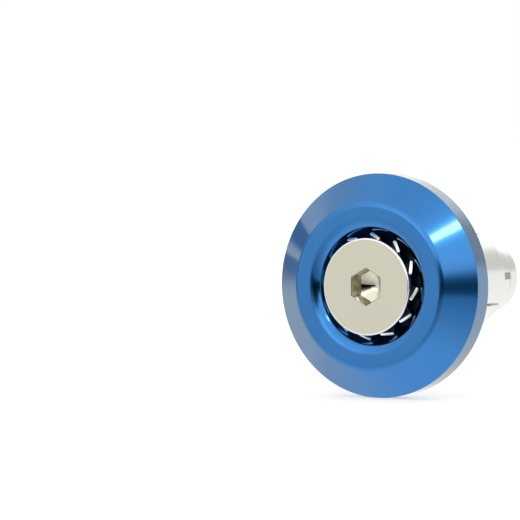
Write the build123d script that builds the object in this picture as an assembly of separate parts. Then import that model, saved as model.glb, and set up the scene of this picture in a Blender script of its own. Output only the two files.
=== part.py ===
from build123d import *
from math import cos, radians, sin, tan
import os

os.makedirs("parts", exist_ok=True)

# A handlebar end weight with an expanding plug. Millimetres; the bar's axis is Y, the ring
# faces -Y, and the handlebar ends at Y = 0, on the spacer washer. Angles round the axis
# start at the top (+Z) and run clockwise as seen from the front.

# End ring
ring_diameter = 37.0
rim_width = 4.0
rim_chamfer = 0.45
bevel_depth = 3.4
face_diameter = 27.1
sink_mouth_diameter = 20.3
sink_angle = 90.0
lip_radius = 3.6
ring_hole_clearance = 0.25

# Clamp screw, an M8 countersunk screw with a hex socket
thread_diameter = 8.0
screw_tip_inset = 2.04
screw_tip_chamfer = 0.9
head_diameter = 16.0
head_edge = 0.4
head_edge_round = 0.25
key_across_flats = 5.0
key_depth = 3.3
key_chamfer = 0.3
key_bottom_angle = 130.0

# Toothed lock washer between the screw's head and the ring
lock_thickness = 0.65
lock_hole_clearance = 0.5
lock_body_width = 1.8
lock_tooth_length = 2.1
tooth_count = 12
tooth_width = 2.3
tooth_root_width = 1.8
tooth_root_thickness = 0.5
tooth_root_depth = 0.5
tooth_twist = 27.0
tooth_angle = 6.8
tooth_clearance = 0.09

# Adapter sleeve, which grips the bore of the bar
sleeve_diameter = 17.6
sleeve_length = 25.0
sleeve_wall = 1.45
sleeve_chamfer = 0.45
sleeve_lead_length = 1.0
sleeve_lead_depth = 0.3
sleeve_slot_count = 4
sleeve_slot_width = 0.5
sleeve_slot_start = 5.6
sleeve_slot_angle = 27.5

# Expander collet inside the sleeve
collet_length = 29.9
collet_chamfer = 0.4
collet_sleeve_clearance = 0.05
collet_bore_clearance = 0.3
collet_slot_count = 4
collet_slot_width = 1.2
collet_slot_start = 10.0
collet_slot_angle = 86.0

# Wedge nut, drawn into the collet by the screw
nut_inset = 0.7
nut_land = 2.6
nut_stand_out = 3.9
nut_narrow_wall = 0.75
nut_chamfer = 0.35
nut_thread_clearance = 0.05
wedge_angle = 15.8
wedge_clearance = 0.3

# Spacer washer on the sleeve, behind the ring
spacer_diameter = 29.4
spacer_thickness = 0.8
spacer_edge_round = 0.2
spacer_clearance = 0.15

# Places worked out from the sizes above
back_y = -spacer_thickness
face_y = back_y - rim_width - bevel_depth
sink_half = radians(sink_angle / 2)
tooth_rise = (tooth_width * sin(radians(tooth_twist)) + lock_thickness * cos(radians(tooth_twist))) / 2
washer_room = tooth_rise + tooth_clearance
thread_radius = thread_diameter / 2
sleeve_bore = sleeve_diameter / 2 - sleeve_wall
collet_radius = sleeve_bore - collet_sleeve_clearance
nut_radius = collet_radius - nut_inset
wedge_slope = tan(radians(wedge_angle))
sleeve_end_y = back_y + sleeve_length
collet_end_y = back_y + collet_length
nut_end_y = collet_end_y + nut_stand_out


def half_section(*points):
    """A closed half section of (radius, y) points beside the bar's axis."""
    return make_face(Polyline(*points, close=True))


def turned(*points):
    """A half section turned about the bar's axis."""
    return revolve(half_section(*points), Axis.Y)


def around(shape, angle):
    """A shape made at the top of the axis (+Z), swung clockwise to an angle."""
    return Rot(0, angle, 0) * shape


def sink_place(radius, inset):
    """The y at which a cone that lies a distance inside the ring's countersink has this radius."""
    mouth = sink_mouth_diameter / 2 - inset / cos(sink_half)
    return face_y + (mouth - radius) / tan(sink_half)


def slots(count, width, start, end, outer, inner, first_angle):
    """Slots through a tube's wall, from a start behind the ring to the tube's open end."""
    blank = Box(width, end - back_y - start, 2 * (outer - inner))
    blank = Pos(0, (end + back_y + start) / 2, (outer + inner) / 2) * blank
    return [around(blank, first_angle + turn * 360 / count) for turn in range(count)]


def make_end_ring():
    rim = ring_diameter / 2
    hole = thread_radius + ring_hole_clearance
    mouth = (sink_mouth_diameter / 2, face_y)
    section = half_section(
        (hole, back_y),
        (rim - rim_chamfer, back_y),
        (rim, back_y - rim_chamfer),
        (rim, back_y - rim_width),
        (face_diameter / 2, face_y),
        mouth,
        (hole, sink_place(hole, 0)),
    )
    lip = section.vertices().sort_by_distance((*mouth, 0))[0]
    return revolve(fillet(lip, lip_radius), Axis.Y)


def make_clamp_screw():
    head = head_diameter / 2
    seat_inset = 2 * washer_room
    edge_y = sink_place(head, seat_inset)
    front_y = edge_y - head_edge
    tip_y = nut_end_y - screw_tip_inset
    section = half_section(
        (0, front_y),
        (head, front_y),
        (head, edge_y),
        (thread_radius, sink_place(thread_radius, seat_inset)),
        (thread_radius, tip_y - screw_tip_chamfer),
        (thread_radius - screw_tip_chamfer, tip_y),
        (0, tip_y),
    )
    rim = section.vertices().sort_by_distance((head, front_y, 0))[0]
    screw = revolve(fillet(rim, head_edge_round), Axis.Y)

    front = Plane(origin=(0, front_y, 0), x_dir=(1, 0, 0), z_dir=(0, 1, 0))
    key = RegularPolygon(key_across_flats / 2, 6, major_radius=False, rotation=90)
    screw -= extrude(front * key, key_depth)
    drill = key_across_flats / 2
    bottom_y = front_y + key_depth
    point_y = bottom_y + drill / tan(radians(key_bottom_angle / 2))
    screw -= turned((0, bottom_y), (drill, bottom_y), (0, point_y))
    key_edges = screw.edges().filter_by(GeomType.LINE).group_by(Axis.Y)[0]
    return chamfer(key_edges, key_chamfer)


def make_lock_washer():
    inner = thread_radius + lock_hole_clearance
    root = inner + lock_body_width
    tip = root + lock_tooth_length
    outward = Vector(sin(sink_half), -cos(sink_half), 0)
    to_head = Vector(-cos(sink_half), -sin(sink_half), 0)

    def middle(radius):
        return Vector(radius, sink_place(radius, washer_room), 0)

    def edge(radius, side):
        point = middle(radius) + to_head * (side * lock_thickness / 2)
        return (point.X, point.Y)

    def blade(radius, width, thickness, twist):
        across = Plane(middle(radius), x_dir=(0, 0, 1), z_dir=outward)
        return across * Rectangle(width, thickness, rotation=twist)

    body = turned(edge(inner, -1), edge(root, -1), edge(root, 1), edge(inner, 1))
    tooth = loft([
        blade(root - tooth_root_depth, tooth_root_width, tooth_root_thickness, 0),
        blade(tip, tooth_width, lock_thickness, -tooth_twist),
    ])
    tooth = Rot(0, -90, 0) * tooth
    teeth = [around(tooth, tooth_angle + turn * 360 / tooth_count) for turn in range(tooth_count)]
    return body + teeth


def make_adapter_sleeve():
    outer = sleeve_diameter / 2
    inner = sleeve_bore
    sleeve = turned(
        (inner, back_y),
        (outer - sleeve_lead_depth, back_y),
        (outer, back_y + sleeve_lead_length),
        (outer, sleeve_end_y - sleeve_chamfer),
        (outer - sleeve_chamfer, sleeve_end_y),
        (inner, sleeve_end_y),
    )
    return sleeve - slots(sleeve_slot_count, sleeve_slot_width, sleeve_slot_start, sleeve_end_y,
                          outer, inner, sleeve_slot_angle)


def make_expander_collet():
    outer = collet_radius
    bore = thread_radius + collet_bore_clearance
    throat = nut_radius - (nut_stand_out - nut_land) * wedge_slope + wedge_clearance
    collet = turned(
        (bore, back_y),
        (outer, back_y),
        (outer, collet_end_y - collet_chamfer),
        (outer - collet_chamfer, collet_end_y),
        (throat, collet_end_y),
        (bore, collet_end_y - (throat - bore) / wedge_slope),
    )
    return collet - slots(collet_slot_count, collet_slot_width, collet_slot_start, collet_end_y,
                          outer, bore, collet_slot_angle)


def make_wedge_nut():
    outer = nut_radius
    bore = thread_radius + nut_thread_clearance
    narrow = bore + nut_narrow_wall
    land_y = nut_end_y - nut_land
    return turned(
        (bore, land_y - (outer - narrow) / wedge_slope),
        (narrow, land_y - (outer - narrow) / wedge_slope),
        (outer, land_y),
        (outer, nut_end_y - nut_chamfer),
        (outer - nut_chamfer, nut_end_y),
        (bore + nut_chamfer, nut_end_y),
        (bore, nut_end_y - nut_chamfer),
    )


def make_spacer_washer():
    inner = sleeve_diameter / 2 + spacer_clearance
    outer = spacer_diameter / 2
    section = half_section(
        (inner, back_y),
        (outer, back_y),
        (outer, back_y + spacer_thickness),
        (inner, back_y + spacer_thickness),
    )
    return revolve(fillet(section.vertices().group_by(Axis.X)[-1], spacer_edge_round), Axis.Y)


export_step(make_end_ring(), "parts/end_ring.step")
export_step(make_clamp_screw(), "parts/clamp_screw.step")
export_step(make_lock_washer(), "parts/lock_washer.step")
export_step(make_adapter_sleeve(), "parts/adapter_sleeve.step")
export_step(make_expander_collet(), "parts/expander_collet.step")
export_step(make_wedge_nut(), "parts/wedge_nut.step")
export_step(make_spacer_washer(), "parts/spacer_washer.step")
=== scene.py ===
# %% [markdown]
# A handlebar end weight: a blue anodised ring on the end of a motorbike's bar, and behind it an
# expanding plug that grips the inside of the tube. A screw with a countersunk head passes
# through the ring and draws a wedge nut into two slit tubes. The solid model comes in first, as
# a frame that is never changed. Each piece of it then gets a finer twin with rounded edges,
# threads and turned finishes, in the same place.

# %% Load the frame
from math import atan2, cos, pi, radians, sin, tan

import bmesh
import bpy
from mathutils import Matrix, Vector


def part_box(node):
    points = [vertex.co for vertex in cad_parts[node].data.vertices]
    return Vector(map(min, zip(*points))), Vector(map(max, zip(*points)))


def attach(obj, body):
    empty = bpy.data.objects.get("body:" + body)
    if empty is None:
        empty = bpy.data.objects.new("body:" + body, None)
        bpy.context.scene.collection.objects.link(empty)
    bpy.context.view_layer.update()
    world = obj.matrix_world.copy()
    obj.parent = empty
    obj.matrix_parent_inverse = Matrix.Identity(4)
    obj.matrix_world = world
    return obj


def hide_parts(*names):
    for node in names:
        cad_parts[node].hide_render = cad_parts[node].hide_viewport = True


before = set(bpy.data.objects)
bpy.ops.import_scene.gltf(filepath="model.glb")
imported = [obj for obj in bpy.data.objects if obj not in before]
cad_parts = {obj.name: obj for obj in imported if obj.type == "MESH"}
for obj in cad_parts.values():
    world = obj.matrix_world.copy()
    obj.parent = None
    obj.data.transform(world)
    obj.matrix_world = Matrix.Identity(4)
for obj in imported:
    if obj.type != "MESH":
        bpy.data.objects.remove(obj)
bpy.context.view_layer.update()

MM = 0.001
print("frame holds", sorted(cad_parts))


# %% [markdown]
# Node trees make both the shapes and the finishes here. Written node by node they are hard to
# read, so a value is wrapped in a small class: adding or multiplying two wrapped values adds
# the Math node that does it. Three soft masks, above, below and within, say where something
# holds, because finishes and studio are mostly made of such places.

# %% Values of a node tree
class Value:
    """A number that flows through a node tree. Operators on it add Math nodes."""

    def __init__(self, tree, socket):
        self.tree = tree
        self.socket = socket

    def math(self, operation, *others):
        node = self.tree.add("ShaderNodeMath", {"operation": operation},
                             dict(enumerate((self, *others))))
        return Value(self.tree, node.outputs[0])

    def __add__(self, other):
        return self.math("ADD", other)

    def __sub__(self, other):
        return self.math("SUBTRACT", other)

    def __mul__(self, other):
        return self.math("MULTIPLY", other)

    def __truediv__(self, other):
        return self.math("DIVIDE", other)

    def __rsub__(self, other):
        node = self.tree.add("ShaderNodeMath", {"operation": "SUBTRACT"}, {0: other, 1: self})
        return Value(self.tree, node.outputs[0])

    def __abs__(self):
        return self.math("ABSOLUTE")

    __radd__ = __add__
    __rmul__ = __mul__

    def above(self, low, high):
        """0 up to low, 1 from high on, and a smooth rise between them."""
        node = self.tree.add("ShaderNodeMapRange", {"interpolation_type": "SMOOTHSTEP"},
                             {"Value": self, "From Min": low, "From Max": high})
        return Value(self.tree, node.outputs["Result"])

    def below(self, low, high):
        """1 up to low, 0 from high on, and a smooth fall between them."""
        return 1 - self.above(low, high)

    def within(self, rise, full, last, fall):
        """1 from full to last, 0 up to rise and from fall on, and smooth between them."""
        return self.above(rise, full) * self.below(last, fall)


print("values can be added, multiplied and masked")


# %% [markdown]
# Every other node comes from one method of the tree, which sets the node's own settings first
# and then its sockets. A socket takes a plain number, another socket or a wrapped value. Colours
# go through a Mix node, because a Math node would turn them grey.

# %% Node trees
class Tree:
    """A node tree that is being written."""

    def __init__(self, node_tree):
        self.node_tree = node_tree

    def add(self, kind, settings=None, sockets=None):
        node = self.node_tree.nodes.new(kind)
        for name, setting in (settings or {}).items():
            setattr(node, name, setting)
        for name, given in (sockets or {}).items():
            self.feed(node.inputs[name], given)
        return node

    def feed(self, socket, given):
        given = given.socket if isinstance(given, Value) else given
        if isinstance(given, bpy.types.NodeSocket):
            self.node_tree.links.new(given, socket)
        else:
            socket.default_value = given

    def value(self, kind, output=0, settings=None, sockets=None):
        return Value(self, self.add(kind, settings, sockets).outputs[output])

    def parts(self, vector):
        node = self.add("ShaderNodeSeparateXYZ", None, {"Vector": vector})
        return [Value(self, output) for output in node.outputs]

    def vector(self, x, y, z):
        return self.add("ShaderNodeCombineXYZ", None, {"X": x, "Y": y, "Z": z}).outputs[0]

    def mix(self, factor, first, second):
        """A colour between two colours: sockets 6 and 7 take them, and output 2 gives it."""
        node = self.add("ShaderNodeMix", {"data_type": "RGBA"},
                        {"Factor": factor, 6: first, 7: second})
        return node.outputs[2]


print("node trees can be written")


# %% [markdown]
# Each shape is made by a tree of Geometry Nodes, on a mesh that only carries its section. The
# tree's inputs have names, so that a size is given by name. Every tree ends alike: instances
# become real, corners stay sharp and the rest is smooth, and the material is set. Shaping each
# piece by hand could look the same, but its sizes could not be changed afterwards.

# %% Trees that make pieces
SHARP_CORNER = radians(28)


def new_tree(name, inputs):
    """A tree with a section coming in, its sizes by name, a material, and a shape going out."""
    tree = bpy.data.node_groups.new(name, "GeometryNodeTree")
    tree.interface.new_socket("Geometry", in_out="INPUT", socket_type="NodeSocketGeometry")
    for socket_name, socket_type in {**inputs, "Material": "NodeSocketMaterial"}.items():
        tree.interface.new_socket(socket_name, in_out="INPUT", socket_type=socket_type)
    tree.interface.new_socket("Geometry", in_out="OUTPUT", socket_type="NodeSocketGeometry")
    tree = Tree(tree)
    return tree, tree.add("NodeGroupInput").outputs


def finish_tree(tree, geometry, material, sharp_corner=SHARP_CORNER):
    """Realizes instances, marks sharp edges, sets the material and ends the tree."""
    whole = tree.add("GeometryNodeRealizeInstances", None, {"Geometry": geometry})
    corner = tree.value("GeometryNodeInputMeshEdgeAngle", "Unsigned Angle")
    smooth = tree.add("GeometryNodeSetShadeSmooth", {"domain": "FACE"},
                      {0: whole.outputs[0], "Shade Smooth": True})
    is_soft = tree.add("FunctionNodeCompare", {"data_type": "FLOAT", "operation": "LESS_THAN"},
                       {0: corner, 1: sharp_corner})
    edges = tree.add("GeometryNodeSetShadeSmooth", {"domain": "EDGE"},
                     {0: smooth.outputs[0], "Shade Smooth": is_soft.outputs[0]})
    painted = tree.add("GeometryNodeSetMaterial", None,
                       {"Geometry": edges.outputs[0], "Material": material})
    end = tree.add("NodeGroupOutput")
    tree.feed(end.inputs[0], painted.outputs[0])
    print(tree.node_tree.name, "tree has", len(tree.node_tree.nodes), "nodes")


print("trees can be begun and ended")


# %% [markdown]
# A piece is kept as the plain mesh that its tree made, and the modifier is removed, because the
# frame takes plain meshes. The modifier knows each input by an identifier, which is looked up
# by name. Faces are turned outwards, and open edges are counted as a check: a solid has none.

# %% Pieces as plain meshes
def link_object(name, data):
    thing = bpy.data.objects.new(name, data)
    bpy.context.scene.collection.objects.link(thing)
    return thing


def point_outward(mesh):
    """Turns a mesh's faces outwards and counts its open edges."""
    shell = bmesh.new()
    shell.from_mesh(mesh)
    bmesh.ops.recalc_face_normals(shell, faces=shell.faces)
    open_edges = sum(1 for edge in shell.edges if not edge.is_manifold)
    shell.to_mesh(mesh)
    shell.free()
    return open_edges


def bake(name, source, tree, values):
    """Runs a tree on a mesh and keeps the result as a plain mesh object."""
    carrier = link_object(name + "_source", source)
    modifier = carrier.modifiers.new("form", "NODES")
    modifier.node_group = tree.node_tree
    identifiers = {item.name: item.identifier for item in tree.node_tree.interface.items_tree
                   if item.item_type == "SOCKET" and item.in_out == "INPUT"}
    for input_name, value in values.items():
        modifier[identifiers[input_name]] = value
    evaluated = carrier.evaluated_get(bpy.context.evaluated_depsgraph_get())
    mesh = bpy.data.meshes.new_from_object(evaluated)
    carrier.modifiers.remove(modifier)
    bpy.data.objects.remove(carrier)
    open_edges = point_outward(mesh)
    mesh.name = name
    mesh.calc_loop_triangles()
    print(f"{name}: {len(mesh.loop_triangles)} triangles, {open_edges} open edges")
    return link_object(name, mesh)


print("pieces can be kept as plain meshes")


# %% [markdown]
# A screw thread is a groove that climbs by one pitch in each turn. So the fraction of height
# over pitch, less the share of a turn, says where on the thread a point lies. A sine of it would
# do from afar, but a real thread has straight flanks between narrow flats, so a ramp is used
# that is cut off at both ends.

# %% Screw threads
FLANK_SLOPE = 2.6
FLANK_START = 0.15


def thread_groove(height, share, pitch):
    """0 on a thread's crest and 1 in its groove, at a height and a share of a turn."""
    wave = (height / pitch - share).math("FRACT")
    ramp = abs(wave - 0.5) * FLANK_SLOPE - FLANK_START
    return ramp.math("MAXIMUM", 0).math("MINIMUM", 1)


print("a thread's flank takes", round(1 / FLANK_SLOPE, 2), "of its pitch")


# %% [markdown]
# Almost every piece was turned on a lathe, so one tree stands for the lathe. A half section
# beside the axis is drawn as a chain of points. The tree makes a grid with a column for each
# angle and a row for each point, and wraps it round the axis, which is Y. Where the section
# says so, a thread's groove is taken from the radius. A Spin in mesh code would give the plain
# forms too, but not the threads.

# %% The lathe
NUMBER = "NodeSocketFloat"
WHOLE = "NodeSocketInt"
LATHE_SIZES = {"Segments": WHOLE, "Pitch": NUMBER, "Depth": NUMBER}
SEAM = 0.0005 * MM


def add_lathe(tree, profile, segments, pitch=1.0, depth=0.0):
    """Nodes that turn a chain of (radius, y) points about Y, and cut threads where it says so."""
    rows = tree.value("GeometryNodeAttributeDomainSize", "Point Count", None, {0: profile})
    segments = Value(tree, segments)
    grid = tree.add("GeometryNodeMeshGrid", None, {"Vertices X": segments + 1, "Vertices Y": rows})
    index = tree.value("GeometryNodeInputIndex")
    column = (index / rows).math("FLOOR")
    row = index - column * rows
    share = column / segments

    def on_profile(kind, value):
        return tree.add("GeometryNodeSampleIndex", {"data_type": kind},
                        {"Geometry": profile, "Value": value.outputs[0], "Index": row}).outputs[0]

    place = on_profile("FLOAT_VECTOR", tree.add("GeometryNodeInputPosition"))
    radius, height, _ = tree.parts(place)
    mark = tree.add("GeometryNodeInputNamedAttribute", None, {"Name": "thread"})
    threaded = Value(tree, on_profile("FLOAT", mark))
    radius = radius - threaded * depth * thread_groove(height, share, pitch)
    angle = share * (2 * pi)
    wrapped = tree.vector(radius * angle.math("SINE"), height, radius * angle.math("COSINE"))
    turned = tree.add("GeometryNodeSetPosition", None,
                      {"Geometry": grid.outputs[0], "Position": wrapped})
    closed = tree.add("GeometryNodeMergeByDistance", None,
                      {"Geometry": turned.outputs[0], "Distance": SEAM})
    return closed.outputs[0]


lathe, given = new_tree("lathe", LATHE_SIZES)
turned = add_lathe(lathe, given["Geometry"], given["Segments"], given["Pitch"], given["Depth"])
finish_tree(lathe, turned, given["Material"])


# %% [markdown]
# No machined edge is perfectly sharp, and the thin bright lines on the real ring and screw are
# these small rounds catching the light. So a section is written as corners, each with the
# radius of its round, and a helper swaps each corner for an arc. A Bevel modifier could round
# them too, but here each corner has a radius of its own. A row of points just beside each arc
# holds the flat next to it flat, because smooth shading would bend it otherwise.

# %% Sections with rounded corners
HOLD = 0.06
LARGE_ROUND = 1.0
LARGE_ROUND_STEPS = 6


def arc(before, corner, after, radius, steps):
    """Points of the round that replaces a corner, with a holding row on the flat at each side."""
    corner = Vector(corner)
    back = (Vector(before) - corner).normalized()
    ahead = (Vector(after) - corner).normalized()
    half = back.angle(ahead) / 2
    centre = corner + (back + ahead).normalized() * (radius / sin(half))
    first = corner + back * (radius / tan(half)) - centre
    last = corner + ahead * (radius / tan(half)) - centre
    sweep = first.angle_signed(last)
    start_angle = atan2(first.y, first.x)
    bend = [(centre.x + radius * cos(start_angle - sweep * i / steps),
             centre.y + radius * sin(start_angle - sweep * i / steps)) for i in range(steps + 1)]
    hold = min(HOLD, radius / 4)
    return [tuple(centre + first + back * hold)] + bend + [tuple(centre + last + ahead * hold)]


def section(corners, closed=True, steps=4):
    """A chain of (radius, y) points in millimetres from (radius, y, round) corners."""
    points = []
    count = len(corners)
    for i, (radius, y, round_radius) in enumerate(corners):
        if round_radius == 0:
            points.append((radius, y))
            continue
        before = corners[i - 1][:2]
        after = corners[(i + 1) % count][:2]
        fine = steps if round_radius < LARGE_ROUND else LARGE_ROUND_STEPS * steps
        points += arc(before, (radius, y), after, round_radius, fine)
    return points + points[:1] if closed else points


print("corners get rounds with rows held", HOLD, "mm beside them")


# %% [markdown]
# The lathe reads its section from a mesh: a chain of points joined by edges, with a mark named
# thread that says how deep a thread is cut at each point. A curve could hold the same points,
# but a mesh is read point by point without being resampled.

# %% Sections as meshes
def profile_mesh(name, points, threaded=None):
    """A chain of points as a mesh. Where threaded gives a share above 0, the lathe cuts a thread."""
    mesh = bpy.data.meshes.new(name + "_section")
    mesh.from_pydata([(radius * MM, y * MM, 0) for radius, y in points],
                     [(i, i + 1) for i in range(len(points) - 1)], [])
    mark = mesh.attributes.new("thread", "FLOAT", "POINT")
    mark.data.foreach_set("value", [threaded(*point) if threaded else 0.0 for point in points])
    return mesh


print("sections can be turned into meshes")


# %% [markdown]
# Finishes come before the pieces, because each tree ends by setting one. All of them are worked
# out from the place on the object, as distance from the bar's axis and place along it, so that
# turning marks run round the axis like the groove that a tool leaves. Painting or pictures would
# need an unwrapped surface, and turned parts follow a plain rule instead.

# %% Places on the object
def new_finish(name):
    material = bpy.data.materials.new(name)
    material.use_nodes = True
    material.node_tree.nodes.clear()
    return material, Tree(material.node_tree)


def own_place(tree):
    return tree.add("ShaderNodeTexCoord").outputs["Object"]


def own_normal(tree):
    return tree.parts(tree.add("ShaderNodeTexCoord").outputs["Normal"])


def axis_places(tree):
    """Distance from the bar's axis and place along it, both in millimetres, and the raw place."""
    place = own_place(tree)
    x, y, z = tree.parts(place)
    distance = (x * x + z * z).math("SQRT") / MM
    return distance, y / MM, place


print("finishes can read places on the object")


# %% [markdown]
# No surface is quite even. Clouds are soft spots in space, and turning marks change along one
# measure only, so that they run as rings. Either can drive a Bump, which bends the light and
# leaves the shape alone: real grooves this fine would need millions of faces.

# %% Marks and metals
def clouds(tree, place, scale, detail):
    return tree.value("ShaderNodeTexNoise", "Fac", None,
                      {"Vector": place, "Scale": scale, "Detail": detail})


def turning_marks(tree, along, coarse, fine):
    """A height that changes only along one measure, at a coarse and a fine spacing."""
    def grooves(spacing, detail):
        return tree.value("ShaderNodeTexNoise", "Fac", {"noise_dimensions": "1D"},
                          {"W": along * spacing, "Scale": 1.0, "Detail": detail})
    return grooves(coarse, 3.0) * 0.5 + grooves(fine, 2.0) * 0.5


def bumps(tree, height, strength, depth):
    """A normal that follows a height, whose full step is so many millimetres deep."""
    bump = tree.add("ShaderNodeBump", None,
                    {"Strength": strength, "Distance": depth * MM, "Height": height})
    return bump.outputs[0]


def metal_shader(tree, colour, roughness, normal, coat=None):
    return tree.add("ShaderNodeBsdfPrincipled", None, {
        "Base Color": colour, "Metallic": 1.0, "Roughness": roughness, "Normal": normal,
        **(coat or {})})


def end_finish(tree, shader):
    end = tree.add("ShaderNodeOutputMaterial")
    tree.feed(end.inputs["Surface"], shader.outputs[0])


print("finishes can have clouds, turning marks and bumps")


# %% [markdown]
# The ring is dyed in its anodic layer: the metal under a clear, hard oxide looks deep blue from
# the front, and the oxide's own pale gloss takes over where it is seen at a low angle. One metal
# can't do both, so a Layer Weight mixes two. The lip of the countersink is smoother than the
# turned face, and the cone inside it is left duller.

# %% Blue anodised aluminium
DYE_DEEP = (0.009, 0.168, 0.482, 1)
DYE_PALE = (0.014, 0.187, 0.517, 1)
OXIDE_GLOSS = (0.15, 0.2, 0.222, 1)

blue_anodised, tree = new_finish("blue_anodised")
distance, along, place = axis_places(tree)
marks = turning_marks(tree, distance + along * 0.7, 2.2, 9.0)
fine_turned = bumps(tree, marks, 0.2, 0.02)
sunk = distance.below(8.9, 9.5)
lip = (1 - sunk) * distance.below(10.4, 11.4)
dyed = tree.mix(clouds(tree, place, 160.0, 3.0), DYE_DEEP, DYE_PALE)
clear_oxide = {"Coat Weight": 0.95 - sunk * 0.6, "Coat Roughness": 0.1, "Coat IOR": 1.5}
metal = metal_shader(tree, dyed, 0.17 + marks * 0.06 - lip * 0.05 + sunk * 0.16, fine_turned,
                     clear_oxide)
gloss = metal_shader(tree, OXIDE_GLOSS, 0.06 + sunk * 0.24, fine_turned)
facing = tree.value("ShaderNodeLayerWeight", "Facing", None, {"Blend": 0.5})
blue_skin = tree.add("ShaderNodeMixShader", None, {
    "Fac": facing.above(0.17, 0.81), 1: metal.outputs[0], 2: gloss.outputs[0]})
end_finish(tree, blue_skin)
print("made", blue_anodised.name)


# %% [markdown]
# The screw is nickel plated, which looks warmer and softer than bare steel. Its rim is painted
# near white, a painted highlight along the head's edge. Inside the socket two tools left two
# surfaces: the broach tore the walls into a dull grain, and the drill left a shiny cone. The
# surface's own normal tells them apart, since a wall faces sideways and the cone faces out along
# the axis.

# %% Plated steel of the screw
NICKEL_DEEP = (0.67, 0.648, 0.528, 1)
NICKEL_PALE = (0.71, 0.688, 0.56, 1)
RIM_HIGHLIGHT = (0.97, 0.96, 0.93, 1)
DRILLED_CONE = (0.66, 0.635, 0.52, 1)
TORN_WALL = (0.52, 0.485, 0.39, 1)
CUT_WALL = (0.86, 0.82, 0.69, 1)

plated_steel, tree = new_finish("plated_steel")
distance, along, place = axis_places(tree)
marks = turning_marks(tree, distance + along, 1.5, 7.0)
cloud = clouds(tree, place, 220.0, 4.0)
grain = clouds(tree, place, 1100.0, 2.0)
_, faces_along, _ = own_normal(tree)
# Painted highlight: a near-white band round the head's rim.
rim_highlight = distance.above(7.62, 7.86) * along.below(-8.75, -8.6)
in_socket = distance.below(3.28, 3.34) * along.above(-9.0, -8.95)
broached = in_socket * abs(faces_along).below(0.2, 0.5)
drilled = in_socket * abs(faces_along).above(0.6, 0.85)
head_plate = tree.mix(rim_highlight, tree.mix(cloud, NICKEL_DEEP, NICKEL_PALE), RIM_HIGHLIGHT)
head_plate = tree.mix(drilled, head_plate, DRILLED_CONE)
key_wall = tree.mix(grain.above(0.4, 0.64), TORN_WALL, CUT_WALL)
plate = metal_shader(tree, tree.mix(broached, head_plate, key_wall),
                     0.16 + cloud * 0.08 - in_socket * 0.13 + broached * 0.36,
                     bumps(tree, marks + cloud * 0.4, 0.05, 0.02))
end_finish(tree, plate)
print("made", plated_steel.name)


# %% [markdown]
# The lock washer is tempered spring steel with a dark skin, tinted blue as a painted reflection of
# the blue ring round it. Its teeth were sheared off at their ends, where the bare steel is painted
# near white as a painted glint. The tooth's mesh carries a mark named bright on those ends, so
# the finish needs no place to look for them and follows each copy.

# %% Spring steel of the lock washer
# Painted reflection: the dark steel is tinted with the blue of the ring it mirrors.
TEMPERED_AND_RING_REFLECTION = (0.13, 0.23, 0.4, 1)
# Painted glint: the sheared tooth ends are near white.
SHEARED_GLINT = (0.97, 0.97, 0.95, 1)

spring_steel, tree = new_finish("spring_steel")
bright = tree.value("ShaderNodeAttribute", "Fac", {"attribute_name": "bright"})
cloud = clouds(tree, own_place(tree), 900.0, 3.0)
steel = metal_shader(tree, tree.mix(bright, TEMPERED_AND_RING_REFLECTION, SHEARED_GLINT), 0.52 - bright * 0.2 + cloud * 0.08,
                     bumps(tree, cloud, 0.1, 0.03))
end_finish(tree, steel)
print("made", spring_steel.name)


# %% [markdown]
# The plug is bare aluminium, bright from a sharp tool. Saw cuts and bores get painted shade, a
# darker colour where little light reaches, and the cone of the wedge, which rubs in the collet, is
# duller and painted darker as shade inside the collet. A surface whose normal points neither away
# from the axis nor along it lies in a cut or a bore, which is how the finish finds them. On the
# sleeve, outside the collet's radius, its narrow slots get only a little of this painted shade.

# %% Bright turned aluminium of the plug
BRIGHT_DEEP = (0.665, 0.672, 0.64, 1)
BRIGHT_PALE = (0.735, 0.742, 0.71, 1)
HOLLOW_SHADE = (0.34, 0.34, 0.325, 1)
SHADED_CONE = (0.4, 0.4, 0.385, 1)

turned_aluminium, tree = new_finish("turned_aluminium")
distance, along, place = axis_places(tree)
marks = turning_marks(tree, along + distance * 0.8, 1.2, 8.0)
x, _, z = tree.parts(place)
normal_x, normal_y, normal_z = own_normal(tree)
outward = (x * normal_x + z * normal_z) / MM / distance
# Painted shade: cuts and bores are darkened, much less outside the collet's radius.
hollow_shade_share = 1 - distance.above(7.3, 7.34) * 0.85
painted_hollow_shade = outward.below(0.1, 0.5) * abs(normal_y).below(0.3, 0.6) * hollow_shade_share
# Painted shade: the wedge nut's cone is darker where it sits inside the collet, and rougher.
wedge_cone_shade = distance.below(6.5, 6.62) * along.below(30.2, 30.45)
shine = tree.mix(painted_hollow_shade, tree.mix(marks, BRIGHT_DEEP, BRIGHT_PALE), HOLLOW_SHADE)
bare = metal_shader(tree, tree.mix(wedge_cone_shade, shine, SHADED_CONE),
                    0.14 + marks * 0.14 + wedge_cone_shade * 0.3, bumps(tree, marks, 0.1, 0.02))
end_finish(tree, bare)
print("made", turned_aluminium.name)


# %% [markdown]
# The spacer is milky nylon. A little light enters it and comes out beside where it went in, so
# it gets some subsurface scattering, less than a millimetre deep, instead of plain paint.

# %% White nylon of the spacer washer
MILKY = (0.84, 0.845, 0.85, 1)
CLEAR_WHITE = (0.9, 0.9, 0.9, 1)
LIGHT_DEPTH = 0.8 * MM

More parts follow.
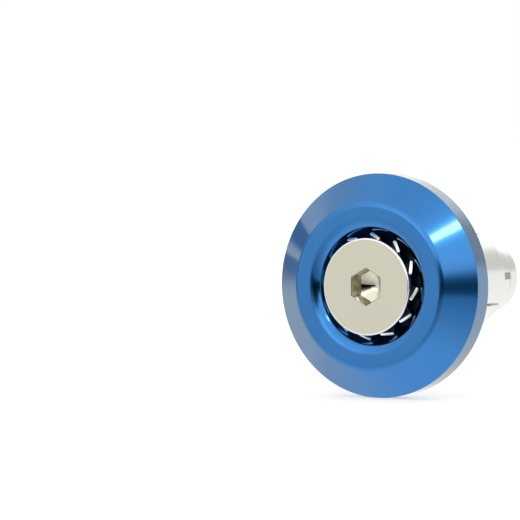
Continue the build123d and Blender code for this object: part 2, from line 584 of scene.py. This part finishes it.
white_nylon, tree = new_finish("white_nylon")
cloud = clouds(tree, own_place(tree), 260.0, 5.0)
nylon = tree.add("ShaderNodeBsdfPrincipled", None, {
    "Base Color": tree.mix(cloud, MILKY, CLEAR_WHITE), "Roughness": 0.36 + cloud * 0.12,
    "Normal": bumps(tree, cloud, 0.12, 0.04), "Subsurface Weight": 0.5,
    "Subsurface Radius": (LIGHT_DEPTH, LIGHT_DEPTH, LIGHT_DEPTH), "Subsurface Scale": 1.0})
end_finish(tree, nylon)
print("made", white_nylon.name)


# %% [markdown]
# The ring is the piece that shows: rim, wide bevel, flat face, and a dished countersink whose
# lip is a soft round. Its outer sizes come from the frame. A cone cut out by a boolean would leave
# a sharp lip, but the real one bends the studio into a dark patch on one side and a small
# highlight on the other, so it is part of the section and gets many rows.

# %% End ring
ring_low, ring_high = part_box("end_ring")
rim = ring_high.x / MM
back = ring_high.y / MM
face = ring_low.y / MM
rim_width = 4.0
rim_chamfer = 0.45
rim_round = 0.16
face_radius = 13.55
face_round = 1.9
mouth_radius = 10.15
lip_round = 3.0
hole_radius = 4.25
hole_round = 0.12
sink_floor = face + mouth_radius - hole_radius
ring_section = section([
    (hole_radius, back, hole_round),
    (rim - rim_chamfer, back, 0.06),
    (rim, back - rim_chamfer, 0.08),
    (rim, back - rim_width, rim_round),
    (face_radius, face, face_round),
    (mouth_radius, face, lip_round),
    (hole_radius, sink_floor, hole_round),
])
end_ring = bake("end_ring_turned", profile_mesh("end_ring", ring_section), lathe, {
    "Segments": 288, "Pitch": 1.0, "Depth": 0.0, "Material": blue_anodised})


# %% [markdown]
# The screw's head has a hexagonal socket for a key, with a cone at its end that the drill left.
# The cutter for it is one closed plug: a hexagon with a slightly flared mouth, whose far end
# follows the cone. A hexagon and a cone as two cutters would leave thin slivers where they meet.

# %% Key cutter
screw_low, screw_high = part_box("clamp_screw")
head_front = screw_low.y / MM
key_apothem = 2.68
key_depth = 3.3
key_chamfer = 0.08
key_proud = 0.3
key_slope = tan(radians(20))


def key_ring(apothem, depth, slope=0.0, points=72):
    """A hexagonal ring of the key's cutter, a corner upwards, that may lie on the drill's cone."""
    ring = []
    for i in range(points):
        angle = 2 * pi * i / points
        radius = apothem / cos((angle % (pi / 3)) - pi / 6)
        y = head_front + depth + (apothem - radius) * slope
        ring.append((radius * sin(angle) * MM, y * MM, radius * cos(angle) * MM))
    return ring


def ring_quads(ring_count, size):
    """Faces between rings of points that follow each other in one list."""
    return [(size * layer + i, size * layer + (i + 1) % size,
             size * (layer + 1) + (i + 1) % size, size * (layer + 1) + i)
            for layer in range(ring_count - 1) for i in range(size)]


def key_cutter():
    """A closed hexagonal plug with a slightly flared mouth and the drill's cone at its end."""
    halfway = key_apothem / 2
    rings = [key_ring(key_apothem + key_chamfer + key_proud, -key_proud),
             key_ring(key_apothem, key_chamfer),
             key_ring(key_apothem, key_depth, key_slope),
             key_ring(halfway, key_depth + halfway * key_slope, key_slope)]
    size = len(rings[0])
    apex = size * len(rings)
    faces = [tuple(range(size))] + ring_quads(len(rings), size)
    faces += [(apex - size + i, apex - size + (i + 1) % size, apex) for i in range(size)]
    points = [point for ring in rings for point in ring]
    points.append((0, (head_front + key_depth + key_apothem * key_slope) * MM, 0))
    mesh = bpy.data.meshes.new("key_cutter")
    mesh.from_pydata(points, [], faces)
    point_outward(mesh)
    return mesh


hex_cutter = link_object("key_cutter", key_cutter())
print("key cutter has", len(hex_cutter.data.polygons), "faces")


# %% [markdown]
# The screw's tree is the lathe with one step more: the cutter is taken away from the turned form
# by a Mesh Boolean. Its corners count as sharp from a smaller angle on, so that the small edges of
# socket and thread stay crisp.

# %% Lathe with a key socket
key_corner = radians(20)

cut_lathe, given = new_tree("lathe_with_key", {**LATHE_SIZES, "Key": "NodeSocketObject"})
turned = add_lathe(cut_lathe, given["Geometry"], given["Segments"], given["Pitch"], given["Depth"])
key = cut_lathe.add("GeometryNodeObjectInfo", None, {"Object": given["Key"]})
sunk_key = cut_lathe.add("GeometryNodeMeshBoolean", {"operation": "DIFFERENCE"}, {
    "Mesh 1": turned, "Mesh 2": key.outputs["Geometry"]})
finish_tree(cut_lathe, sunk_key.outputs[0], given["Material"], key_corner)


# %% [markdown]
# The screw is turned like the ring, and an M8 thread is rolled on its shank. A thread needs many
# rows along it, and only there, so the section is put together from a few rows on the face, the
# rounded rim and neck, and a dense run on the shank.

# %% Head and neck of the screw
tip = screw_high.y / MM
head_radius = screw_high.x / MM
head_edge = 0.4
shank_radius = 4.0
neck = head_front + head_edge + head_radius - shank_radius
face_row_gap = 1.2
face_edge = head_radius - 0.5


def spaced(first, last, gap):
    """Points on a straight run between two points, ends left out."""
    first = Vector(first)
    last = Vector(last)
    count = int((last - first).length / gap)
    return [tuple(first.lerp(last, i / count)) for i in range(1, count)]


front_rows = [(0, head_front)]
front_rows += spaced((0, head_front), (face_edge, head_front), face_row_gap)
edge_rows = section([
    (0, head_front, 0),
    (head_radius, head_front, 0.25),
    (head_radius, head_front + head_edge, 0.1),
    (shank_radius, neck, 0.3),
    (shank_radius, tip, 0),
], closed=False, steps=6)[1:-1]
print("screw's head has", len(front_rows) + len(edge_rows), "rows")


# %% [markdown]
# The thread starts a little way along the shank and runs out at both ends, as a rolled one does:
# its depth rises from nothing over one pitch, and falls again just before the tip's chamfer. A
# thread that began at full depth would leave a step in the shank.

# %% Clamp screw with its thread
plain_neck = 3.0
tip_chamfer = 0.9
thread_pitch = 1.25
screw_thread_depth = 0.68
thread_start = neck + plain_neck
thread_end = tip - tip_chamfer
thread_row_gap = 0.1
thread_run_out = 0.5
just_off = 1e-6

thread_rows = [(shank_radius, thread_start)]
thread_rows += spaced((shank_radius, thread_start), (shank_radius, thread_end), thread_row_gap)
screw_section = front_rows + edge_rows + thread_rows + [
    (shank_radius, thread_end), (shank_radius - tip_chamfer, tip), (0, tip)]


def screw_thread(radius, y):
    """Full depth on the thread, running out towards the head and at the tip's chamfer."""
    if radius < shank_radius - just_off or y < thread_start:
        return 0.0
    return min(1.0, (y - thread_start) / thread_pitch, (thread_end - y) / thread_run_out)


screw_profile = profile_mesh("screw", screw_section, screw_thread)
clamp_screw = bake("clamp_screw_threaded", screw_profile, cut_lathe, {
    "Segments": 96, "Pitch": thread_pitch * MM, "Depth": screw_thread_depth * MM,
    "Key": hex_cutter, "Material": plated_steel})
bpy.data.objects.remove(hex_cutter)


# %% [markdown]
# The lock washer is a cone of spring steel under the screw's head, with teeth twisted out of it
# that bite into the head and into the ring. Its middle cone lies parallel to the countersink,
# as far away as a twisted tooth needs. Working this out from the tooth's own sizes keeps the
# teeth clear of the ring when a size is changed.

# %% Lock washer's cone
sink_half = radians(45)
lock_thickness = 0.65
tooth_width = 2.3
tooth_twist = radians(27)
tooth_clearance = 0.09
tooth_room = tooth_clearance + (
    tooth_width * sin(tooth_twist) + lock_thickness * cos(tooth_twist)) / 2


def cone_place(radius):
    """The y of the washer's middle cone at a radius."""
    return face + mouth_radius - tooth_room / cos(sink_half) - radius


print("lock washer's cone lies", round(tooth_room, 2), "mm inside the countersink")


# %% [markdown]
# A tooth is a blade that widens, thins and twists on its way from root to tip. Its outline at any
# share of that way is one ring of points. The tooth is built from such rings in mesh code,
# because all three change together, and a modifier would change one at a time.

# %% Outline of a tooth
lock_root = 6.3
lock_tip = 8.4
tooth_root_width = 1.95
tooth_root_depth = 0.5
tooth_thinning = 0.05
tooth_round = 0.2


def blade_ring(share):
    """The rounded outline of the blade at a share of the way from root to tip, at the top."""
    radius = lock_root - tooth_root_depth + (lock_tip - lock_root + tooth_root_depth) * share
    ease = share * share * (3 - 2 * share)
    wide = (tooth_root_width + (tooth_width - tooth_root_width) * ease) / 2
    thick = lock_thickness / 2 - tooth_thinning * ease
    turn = tooth_twist * ease
    outline = section([(side * wide, top * thick, tooth_round)
                       for side, top in ((-1, -1), (1, -1), (1, 1), (-1, 1))], steps=3)[:-1]
    points = []
    for across, through in outline:
        side = across * cos(turn) - through * sin(turn)
        lift = across * sin(turn) + through * cos(turn)
        y = cone_place(radius) - lift * sin(sink_half)
        points.append(Vector((side, y, radius - lift * cos(sink_half))) * MM)
    return points


print("a tooth's outline has", len(blade_ring(1)), "points")


# %% [markdown]
# The end of a tooth was sheared off, so it is flat and bare, with a small bevel round it, and the
# finish paints it near white as a painted glint. The mesh gets a mark there for the finish to
# read, since a mark stays on each copy of the tooth.

# %% One tooth
tooth_steps = 10
sheared_share = 0.86
sheared_depth = 0.06


def tooth_mesh():
    """A twisted tooth at the top of the washer, with a mark on its sheared end."""
    rings = [blade_ring(i / tooth_steps) for i in range(tooth_steps + 1)]
    size = len(rings[0])
    centre = sum(rings[-1], Vector()) / size
    sheared = [centre + (point - centre) * sheared_share for point in rings[-1]]
    outward = Vector((0, -cos(sink_half), sin(sink_half))) * sheared_depth * MM
    rings[-1] = [point - outward for point in rings[-1]]
    rings.append(sheared)
    total = size * len(rings)
    faces = [tuple(range(size)), tuple(range(total - 1, total - size - 1, -1))]
    mesh = bpy.data.meshes.new("tooth")
    mesh.from_pydata([point for ring in rings for point in ring], [],
                     faces + ring_quads(len(rings), size))
    # The bright mark shows the finish where to paint the sheared end near white, a painted glint.
    mark = mesh.attributes.new("bright", "FLOAT", "POINT")
    mark.data.foreach_set("value", [float(i >= total - 2 * size) for i in range(total)])
    point_outward(mesh)
    return mesh


tooth = link_object("tooth", tooth_mesh())
print("tooth has", len(tooth.data.polygons), "faces")


# %% [markdown]
# Teeth and slots repeat evenly round the same axis. A Mesh Line of zero length gives one point
# for each copy, and each copy is turned by its number. An array modifier could do it too, but
# the count and the first angle would then not be inputs of the tree.

# %% Copies round the axis
def add_round_axis(tree, shape, count, first_angle):
    """Nodes that set copies of a shape evenly round Y, clockwise as seen from the front."""
    seats = tree.add("GeometryNodeMeshLine", None, {"Count": count, "Offset": (0, 0, 0)})
    number = tree.value("GeometryNodeInputIndex")
    swing = Value(tree, first_angle) + number * (2 * pi) / count
    spun = tree.add("FunctionNodeEulerToRotation", None, {0: tree.vector(0, swing, 0)})
    copies = tree.add("GeometryNodeInstanceOnPoints", None, {
        "Points": seats.outputs[0], "Instance": shape, "Rotation": spun.outputs[0]})
    return copies.outputs[0]


print("copies can be set round the axis")


# %% [markdown]
# The washer itself is a turned cone with twelve of these teeth set round it. A boolean could
# unite the two, but the roots lie inside the cone's wall and no seam shows, so the tree only
# joins them.

# %% Lock washer
lock_inner = 4.5
lock_round = 0.08
tooth_count = 12
tooth_angle = radians(6.8)

round_axis, given = new_tree("round_axis", {
    "Tooth": "NodeSocketObject", "Count": WHOLE, "First angle": NUMBER, "Segments": WHOLE})
body = add_lathe(round_axis, given["Geometry"], given["Segments"])
tooth_info = round_axis.add("GeometryNodeObjectInfo", None, {"Object": given["Tooth"]})
teeth = add_round_axis(round_axis, tooth_info.outputs["Geometry"], given["Count"],
                       given["First angle"])
both = round_axis.add("GeometryNodeJoinGeometry")
round_axis.feed(both.inputs[0], body)
round_axis.feed(both.inputs[0], teeth)
finish_tree(round_axis, both.outputs[0], given["Material"])


def lock_edge(radius, side):
    """A point on the washer's back (-1) or front (1) face."""
    shift = side * lock_thickness / 2
    y = cone_place(radius) - shift * sin(sink_half)
    return (radius - shift * cos(sink_half), y, lock_round)


lock_section = section([lock_edge(lock_inner, -1), lock_edge(lock_root, -1),
                        lock_edge(lock_root, 1), lock_edge(lock_inner, 1)])
lock_washer = bake("lock_washer_toothed", profile_mesh("lock", lock_section), round_axis, {
    "Tooth": tooth, "Count": tooth_count, "First angle": tooth_angle, "Segments": 96,
    "Material": spring_steel})
bpy.data.objects.remove(tooth)


# %% [markdown]
# The plug's two tubes are slit from their far end so that they can spread. A tube is turned
# first, then narrow blocks are set round the axis and taken away with a Mesh Boolean, as a
# slitting saw would do it. One tree serves both tubes, since only their sizes differ.

# %% Slit tubes
slot_count = 4
saw_overrun = 1.0

slit_tube, given = new_tree("slit_tube", {
    "Segments": WHOLE, "Slots": WHOLE, "Width": NUMBER, "Start": NUMBER, "End": NUMBER,
    "Reach": NUMBER, "First angle": NUMBER})
tube = add_lathe(slit_tube, given["Geometry"], given["Segments"])
low = Value(slit_tube, given["Start"])
high = Value(slit_tube, given["End"])
reach = Value(slit_tube, given["Reach"])
saw = slit_tube.add("GeometryNodeMeshCube", None, {
    "Size": slit_tube.vector(given["Width"], high - low, reach)})
saw_place = slit_tube.add("GeometryNodeTransform", None, {
    "Geometry": saw.outputs[0], "Translation": slit_tube.vector(0, (high + low) / 2, reach / 2)})
saws = add_round_axis(slit_tube, saw_place.outputs[0], given["Slots"], given["First angle"])
blades = slit_tube.add("GeometryNodeRealizeInstances", None, {"Geometry": saws})
slit = slit_tube.add("GeometryNodeMeshBoolean", {"operation": "DIFFERENCE"}, {
    "Mesh 1": tube, "Mesh 2": blades.outputs[0]})
finish_tree(slit_tube, slit.outputs[0], given["Material"])


def bake_tube(name, corners, radius, end, slot_width, slot_start, slot_angle):
    """A slit tube: its slots run from a start behind the ring to the tube's open end."""
    return bake(name, profile_mesh(name, section(corners)), slit_tube, {
        "Segments": 192, "Slots": slot_count, "Width": slot_width * MM,
        "Start": (back + slot_start) * MM, "End": (end + saw_overrun) * MM,
        "Reach": (radius + saw_overrun) * MM, "First angle": radians(slot_angle),
        "Material": turned_aluminium})


# %% [markdown]
# The outer tube is the adapter sleeve, which fits the bore of the bar. Its near end narrows a
# little where it meets the ring, under the spacer, and its far end, which enters the bar first,
# has a small chamfer. Both are corners of the section, so no later bevel is needed.

# %% Adapter sleeve
tube_round = 0.1
sleeve_radius, sleeve_end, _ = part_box("adapter_sleeve")[1] / MM
sleeve_bore = 7.35
sleeve_chamfer = 0.45
sleeve_lead_depth = 0.3
sleeve_lead_length = 1.0
adapter_sleeve = bake_tube("adapter_sleeve_slit", [
    (sleeve_bore, back, tube_round),
    (sleeve_radius - sleeve_lead_depth, back, tube_round),
    (sleeve_radius, back + sleeve_lead_length, tube_round),
    (sleeve_radius, sleeve_end - sleeve_chamfer, tube_round),
    (sleeve_radius - sleeve_chamfer, sleeve_end, tube_round),
    (sleeve_bore, sleeve_end, 0.15),
], sleeve_radius, sleeve_end, slot_width=0.5, slot_start=5.6, slot_angle=27.5)


# %% [markdown]
# The inner tube is the expander collet. Its far end opens in a cone at the angle of the wedge
# nut, with a small gap, so that the nut has a little way to go before it spreads the tubes. The
# cone is worked out from the nut's own sizes instead of drawn, so that the two keep fitting.

# %% Expander collet
collet_radius = 7.3
collet_bore = 4.3
collet_chamfer = 0.4
collet_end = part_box("expander_collet")[1].y / MM
nut_radius, nut_end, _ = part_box("wedge_nut")[1] / MM
nut_land = 2.6
wedge_slope = tan(radians(15.8))
wedge_gap = 0.3
mouth_round = 0.08
throat = nut_radius - (nut_end - collet_end - nut_land) * wedge_slope + wedge_gap
expander_collet = bake_tube("expander_collet_slit", [
    (collet_bore, back, tube_round),
    (collet_radius, back, tube_round),
    (collet_radius, collet_end - collet_chamfer, tube_round),
    (collet_radius - collet_chamfer, collet_end, mouth_round),
    (throat, collet_end, mouth_round),
    (collet_bore, collet_end - (throat - collet_bore) / wedge_slope, 0.2),
], collet_radius, collet_end, slot_width=1.2, slot_start=10.0, slot_angle=86)


# %% [markdown]
# The wedge nut runs on the screw's thread, so its bore carries the same thread, in step with
# the screw's: a crest of one lies in a groove of the other. The lathe takes from the radius here
# too, and in a bore that raises ridges towards the axis, so no second kind of thread is needed.

# %% Wedge nut
nut_bore = 4.05
nut_narrow_wall = 0.75
nut_narrow = nut_bore + nut_narrow_wall
nut_chamfer = 0.35
nut_thread_depth = 0.5
land = nut_end - nut_land
cone_start = land - (nut_radius - nut_narrow) / wedge_slope
bore_end = nut_end - nut_chamfer
nut_outside = section([
    (nut_bore, cone_start, 0),
    (nut_narrow, cone_start, 0.12),
    (nut_radius, land, 0.25),
    (nut_radius, nut_end - nut_chamfer, 0.08),
    (nut_radius - nut_chamfer, nut_end, 0.08),
    (nut_bore + nut_chamfer, nut_end, 0.06),
    (nut_bore, bore_end, 0),
], closed=False)
nut_inside = spaced((nut_bore, bore_end), (nut_bore, cone_start), thread_row_gap)
nut_section = nut_outside + nut_inside + nut_outside[:1]


def nut_thread(radius, y):
    """Full depth inside the bore, running out at both of its ends."""
    if radius > nut_bore + just_off:
        return 0.0
    return max(0.0, min(1.0, (bore_end - y) / thread_run_out, (y - cone_start) / thread_run_out))


wedge_nut = bake("wedge_nut_threaded", profile_mesh("nut", nut_section, nut_thread), lathe, {
    "Segments": 128, "Pitch": thread_pitch * MM, "Depth": nut_thread_depth * MM,
    "Material": turned_aluminium})


# %% [markdown]
# The spacer is a thin plastic washer between the ring and the end of the bar. Its outer edge is
# rounded, as a moulded one is, and its hole clears the sleeve by a little. It could be a tube
# with a bevel, but the lathe makes it from four rounded corners.

# %% Spacer washer
spacer_low, spacer_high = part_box("spacer_washer")
spacer_radius = spacer_high.x / MM
spacer_front = spacer_low.y / MM
spacer_back = spacer_high.y / MM
spacer_clearance = 0.15
spacer_bore = sleeve_radius + spacer_clearance
spacer_section = section([
    (spacer_bore, spacer_front, 0.15),
    (spacer_radius, spacer_front, 0.2),
    (spacer_radius, spacer_back, 0.2),
    (spacer_bore, spacer_back, 0.15),
])
spacer_washer = bake("spacer_washer_moulded", profile_mesh("spacer", spacer_section), lathe, {
    "Segments": 192, "Pitch": 1.0, "Depth": 0.0, "Material": white_nylon})


# %% [markdown]
# Each finer twin now takes the place of its solid and moves with the same body: the screw turns,
# the nut slides along the axis, and the rest stays with the plug. Parenting by hand could move
# them too, but these calls also hide the solid that a twin stands for.

# %% Fit the pieces to the frame
fitted = [
    (end_ring, "end_ring", "plug", "blue_anodised"),
    (clamp_screw, "clamp_screw", "screw", "plated_steel"),
    (lock_washer, "lock_washer", "plug", "spring_steel"),
    (adapter_sleeve, "adapter_sleeve", "plug", "turned_aluminium"),
    (expander_collet, "expander_collet", "plug", "turned_aluminium"),
    (wedge_nut, "wedge_nut", "nut", "turned_aluminium"),
    (spacer_washer, "spacer_washer", "plug", "white_nylon"),
]
for piece, node, body_name, slot_name in fitted:
    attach(piece, body_name)
    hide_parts(node)
print("fitted", len(fitted), "pieces")


# %% [markdown]
# Polished metal shows its surroundings more than itself, so the studio is part of the look. It
# is a white tent, written into the world by direction instead of built from cards, because one
# tree is easier to tune than a dozen lamps. Most of what the ring mirrors lies in front, so
# directions there are measured across the middle of the front.

# %% Directions in the tent
front_azimuth = 24


def toward(azimuth, elevation):
    """The direction to a place in the studio: azimuth from the ring's front towards +X."""
    around = radians(azimuth)
    up = radians(elevation)
    return Vector((sin(around) * cos(up), -cos(around) * cos(up), sin(up)))


world = bpy.data.worlds.new("tent")
bpy.context.scene.world = world
world.use_nodes = True
world.node_tree.nodes.clear()
tree = Tree(world.node_tree)
x, y, z = tree.parts(tree.add("ShaderNodeTexCoord").outputs["Generated"])
middle = toward(front_azimuth, 0)
across = y * middle.x - x * middle.y
front = (x * middle.x + y * middle.y).above(0.0, 0.2)
print("middle of the front lies towards", [round(value, 2) for value in middle])


# %% [markdown]
# Places in the tent are masks by direction, from 0 to 1. In front there are a dark gap round the
# camera, a dim apron below it, the edge of the table, a light place at the bottom, and bright
# panels above. Soft edges matter: a hard one would show as a line on the bevel.

# %% Places in front
camera_gap = (front * z.above(-0.145, -0.12) * (z - across * 0.1).below(0.0, 0.185)
              * abs(across).below(0.57, 0.72))
camera_top = front * z.within(-0.12, -0.1, 0.13, 0.28) * abs(across + 0.12).below(0.2, 0.34)
apron = front * z.below(-0.16, -0.12) * z.above(-0.75, -0.15) * abs(across).below(0.42, 0.8)
apron_sides = apron * z.above(-0.5, -0.33) * abs(across + 0.2).above(0.27, 0.36)
table_edge = z.within(-0.32, -0.2, -0.14, -0.08) * y.below(-0.5, 0.2)
low_front = z.below(-0.75, -0.3) * y.below(0.0, 0.4)
panel = front * z.within(0.05, 0.16, 0.55, 0.95) * abs(across).below(0.6, 0.95)
panel_left = panel * across.below(-0.3, -0.1) * z.below(0.28, 0.4)
panel_right = panel * across.above(0.05, 0.2) * z.below(0.35, 0.5)
print("tent has", len(world.node_tree.nodes), "nodes for its front")


# %% [markdown]
# At the left stand narrow strips, which the bevel shows as bands. Behind there is one dark place
# between light ones, for the plug to mirror. The poles lie straight above and below.

# %% Places beside and behind
left = x.below(-0.9, -0.8) * y.above(-0.12, -0.03)
left_high = left * z.within(0.135, 0.185, 0.283, 0.303)
left_low = left * z.within(-0.1, 0.045, 0.088, 0.108)
left_edge = (x.below(-0.92, -0.86) * y.within(-0.48, -0.4, -0.2, -0.12)
             * z.within(-0.16, -0.08, 0.3, 0.4))
behind = y.above(0.3, 0.7)
behind_right = x.above(-0.05, 0.25)
behind_dark = behind * behind_right * z.within(0.1, 0.18, 0.38, 0.5)
behind_high = behind * (1 - behind_right) * z.above(0.1, 0.3)
poles = abs(z).above(0.92, 0.98)
print("tent has", len(world.node_tree.nodes), "nodes for all its places")


# %% [markdown]
# Now each place gets its light. Panels add to the tent's own glow, dark places take a share of
# it away, and the strips and the sides of the apron are blue, which gives the ring's darker
# bands their colour. The camera sees plain white instead of all this: only reflections and
# shadows know of the tent.

# %% Light of the tent
STRIP_BLUE = (0.06, 0.28, 0.6, 1)
APRON_BLUE = (0.2, 0.5, 0.62, 1)
PLAIN_WHITE = (1, 1, 1, 1)

tent = 0.92 + abs(z) * 0.1 - z * 0.03
for lit, strength in ((low_front, 0.12), (panel, 0.38), (panel_left, 0.45), (panel_right, 0.16),
                      (left, 0.2), (behind, 0.25), (behind_high, 0.4)):
    tent = tent + lit * strength
for dark, share in ((camera_gap, 0.97), (camera_top, 0.9), (apron - apron_sides, 0.42),
                    (table_edge, 0.14), (behind_dark, 0.34), (poles, 0.5)):
    tent = tent * (1 - dark * share)
strips = left_high * 0.84 + left_low * 0.78 + left_edge * 0.8
tent = tree.mix(strips, tent, STRIP_BLUE)
tent = tree.mix(apron_sides * 0.62, tent, APRON_BLUE)


def seen_by_camera(tree):
    return Value(tree, tree.add("ShaderNodeLightPath").outputs["Is Camera Ray"])


background = tree.add("ShaderNodeBackground", None, {
    "Color": tree.mix(seen_by_camera(tree), tent, PLAIN_WHITE), "Strength": 1.0})
end = tree.add("ShaderNodeOutputWorld")
tree.feed(end.inputs["Surface"], background.outputs[0])
print("world", world.name, "has", len(world.node_tree.nodes), "nodes")


# %% [markdown]
# One small, warm lamp a metre away, above the camera, draws the white streak on the bevel and the
# bright spot on the lip. A lamp is better than a spot in the world here, because it is sampled
# on its own and stays free of noise.

# %% Lamp
def aim(thing, azimuth, elevation):
    """Turns a lamp or a camera that stands in a direction so that it looks back along it."""
    thing.rotation_euler = toward(azimuth, elevation).to_track_quat("Z", "Y").to_euler()


lamp_azimuth = 31.4
lamp_elevation = 35.3
lamp_data = bpy.data.lights.new("lamp_above_camera", "AREA")
lamp_data.shape = "DISK"
lamp_data.size = 0.11
lamp_data.energy = 0.44
lamp_data.color = (1, 0.76, 0.58)
lamp = link_object("lamp_above_camera", lamp_data)
lamp.location = toward(lamp_azimuth, lamp_elevation)
aim(lamp, lamp_azimuth, lamp_elevation)
print("lamp at", [round(value, 3) for value in lamp.location])


# %% [markdown]
# The floor touches the ring's lowest point. It is a pale grey that shows a soft shadow, lifted
# by a little glow for the camera alone, so that it ends up white like the background. Metal
# doesn't mirror it, because the tent already says what lies below.

# %% Floor
floor_reach = 4.0
floor_grey = 0.62
floor_lift = 0.5
floor_level = ring_low.z
floor_mesh = bpy.data.meshes.new("floor")
floor_mesh.from_pydata([(side_x * floor_reach, side_y * floor_reach, floor_level)
                        for side_x, side_y in ((-1, -1), (1, -1), (1, 1), (-1, 1))],
                       [], [(0, 1, 2, 3)])
floor = link_object("floor", floor_mesh)
pale_floor, tree = new_finish("pale_floor")
plain = tree.add("ShaderNodeBsdfDiffuse", None, {"Color": (floor_grey, floor_grey, floor_grey, 1)})
lifted = tree.add("ShaderNodeEmission", None, {
    "Color": seen_by_camera(tree) * floor_lift, "Strength": 1.0})
surface = tree.add("ShaderNodeAddShader", None, {0: plain.outputs[0], 1: lifted.outputs[0]})
end_finish(tree, surface)
floor_mesh.materials.append(pale_floor)
floor.visible_glossy = False
print("floor at", round(floor_level / MM, 2), "mm")


# %% [markdown]
# The camera stands where the photograph was taken: some thirty degrees to the right of the
# ring's own axis and slightly above it, half a metre away, with a long lens. It could be aimed by
# a constraint, but two angles say the same and can be read.

# %% Camera
camera_azimuth = 31.238
camera_elevation = 2.417
camera_data = bpy.data.cameras.new("camera")
camera_data.sensor_width = 36.0
camera_data.lens = 230.82
camera_data.clip_start = 0.01
camera = link_object("camera", camera_data)
camera.location = Vector((267.37, -483.11, 27.36)) * MM
aim(camera, camera_azimuth, camera_elevation)
bpy.context.scene.camera = camera
bpy.context.scene.view_settings.view_transform = "Standard"
print("camera at", [round(value, 3) for value in camera.location])
